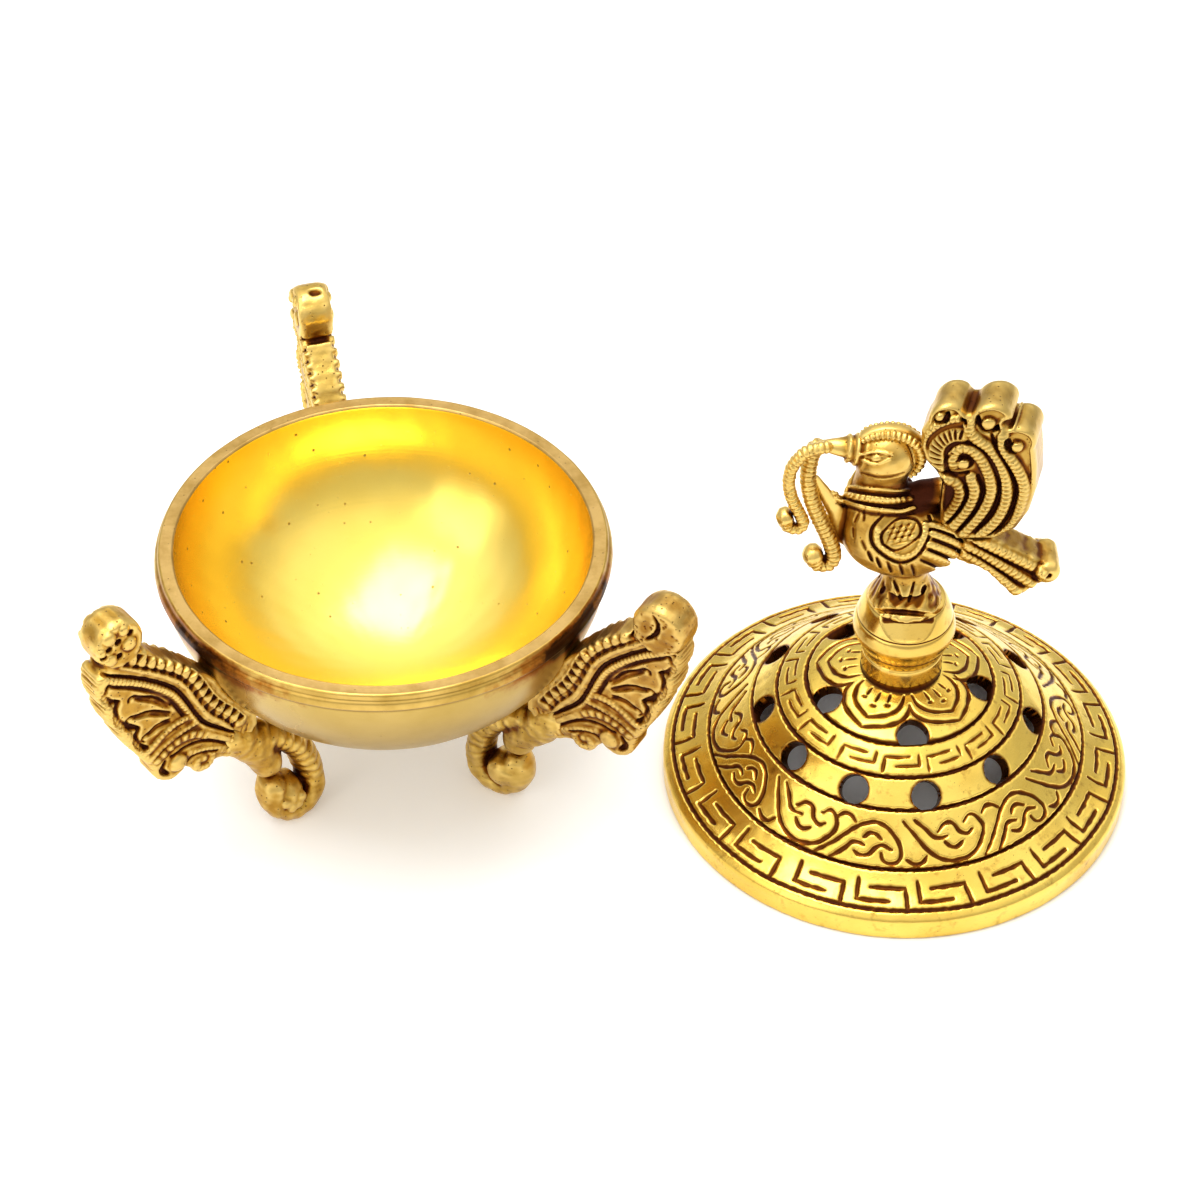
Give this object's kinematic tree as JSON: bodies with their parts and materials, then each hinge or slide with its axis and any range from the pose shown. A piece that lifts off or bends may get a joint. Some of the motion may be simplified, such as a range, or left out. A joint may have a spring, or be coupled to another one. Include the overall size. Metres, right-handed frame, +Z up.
{
  "type": "thurible censer",
  "caption": "Footed brass table censer: open bowl on scrolled cast legs, with a pierced engraved dome lid and peacock finial standing beside it.",
  "frame": {"origin": "on the table, under the centre of the bounding box of the bowl and the lid standing side by side", "axes": "+X from the bowl towards the lid, +Y away from the viewer, +Z up"},
  "size_m": [0.1954, 0.1168, 0.0942],
  "materials": {
    "polished_brass": "polished, dark brown patina in the engraving",
    "satin_brass": "satin outside, polished inside, tarnished under the rim",
    "cast_brass": "as cast with rubbed highlights and dark recesses",
    "plain_brass": "turned"
  },
  "bodies": {
    "bowl": {"bowl": "satin_brass", "leg_left_bracket": "cast_brass", "leg_left_foot": "cast_brass", "leg_right_bracket": "cast_brass", "leg_right_foot": "cast_brass", "leg_rear_bracket": "cast_brass", "leg_rear_foot": "cast_brass"},
    "lid": {"lid_dome": "polished_brass", "lid_collar": "plain_brass", "finial_washer": "plain_brass", "finial_screw": "plain_brass"},
    "finial": {"peacock_pedestal": "polished_brass", "peacock_body": "cast_brass", "peacock_crest": "cast_brass", "garland_front": "cast_brass", "garland_rear": "cast_brass", "tail_fan": "cast_brass", "tail_train": "cast_brass"}
  },
  "joints": [
    {"name": "lid_lift", "type": "slide", "parent": "bowl", "child": "lid", "axis": [0, 0, 1], "range_m": [0, 0.12]},
    {"name": "finial_turn", "type": "hinge", "parent": "lid", "child": "finial", "pos_m": [0.0527, -0.0134, 0.0338], "axis": [0, 0, 1], "continuous": true}
  ]
}
